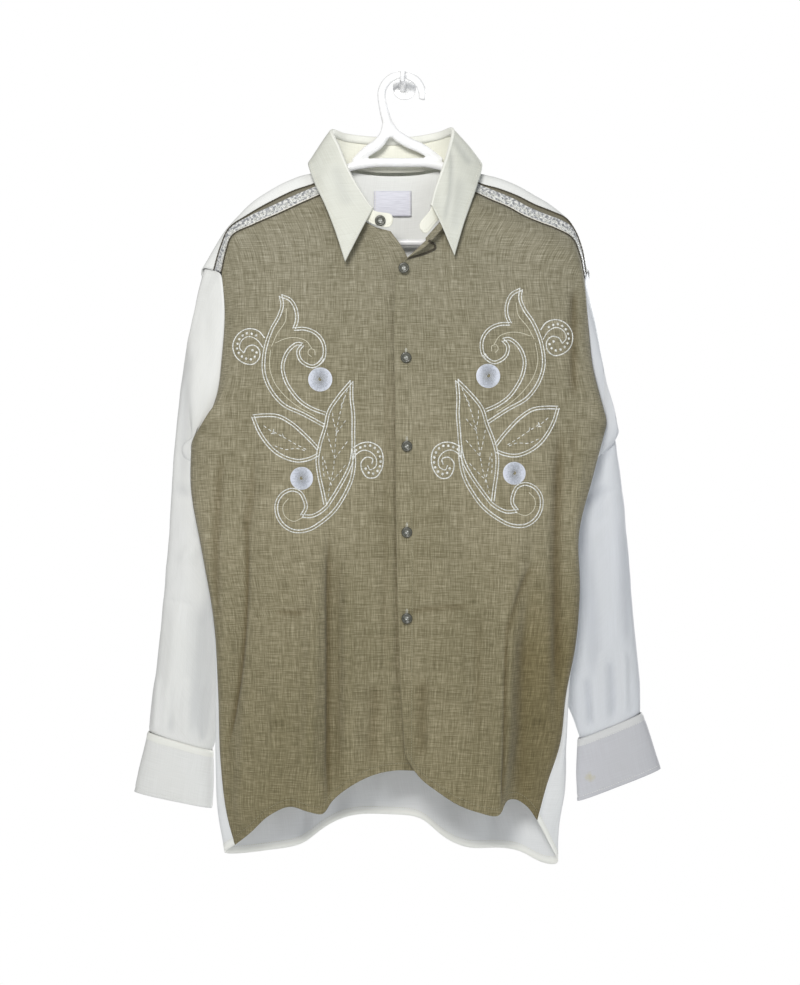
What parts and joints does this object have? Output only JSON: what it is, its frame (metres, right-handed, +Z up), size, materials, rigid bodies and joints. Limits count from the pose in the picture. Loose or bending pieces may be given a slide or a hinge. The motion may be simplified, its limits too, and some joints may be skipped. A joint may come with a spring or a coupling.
{
  "type": "embroidered shirt on hanger and wall hook",
  "caption": "Long-sleeved shirt with olive embroidered fronts, cream sleeves, yoke and collar and floral shoulder braid, hung on a plastic hanger from a small wall hook.",
  "frame": {"origin": "centre of the back face of the wall hook's plate, on the wall", "axes": "+Z up, +Y into the wall, +X to the right of someone who faces the shirt, so the shirt's front faces -Y"},
  "size_m": [0.6172, 0.0957, 0.9499],
  "materials": {
    "olive_cloth": "matte slubbed weave",
    "cream_cloth": "smooth plain weave",
    "braid": "woven floral braid",
    "piping": "matte cord",
    "button": "pearly",
    "label": "plain woven tape",
    "white_plastic": "glossy moulded"
  },
  "bodies": {
    "root": {"front_right": "olive_cloth", "front_left": "olive_cloth", "back": "cream_cloth", "yoke": "cream_cloth", "sleeve_right": "cream_cloth", "sleeve_left": "cream_cloth", "cuff_right": "cream_cloth", "cuff_left": "cream_cloth", "collar_stand": "cream_cloth", "collar_leaf": "cream_cloth", "braid_right": "braid", "braid_left": "braid", "piping_right_lower": "piping", "piping_right_upper": "piping", "piping_left_lower": "piping", "piping_left_upper": "piping", "button_1": "button", "button_2": "button", "button_3": "button", "button_4": "button", "button_5": "button", "button_6": "button", "cuff_button_right": "button", "cuff_button_left": "button", "neck_label": "label", "hanger": "white_plastic", "wall_hook": "white_plastic"}
  },
  "joints": []
}
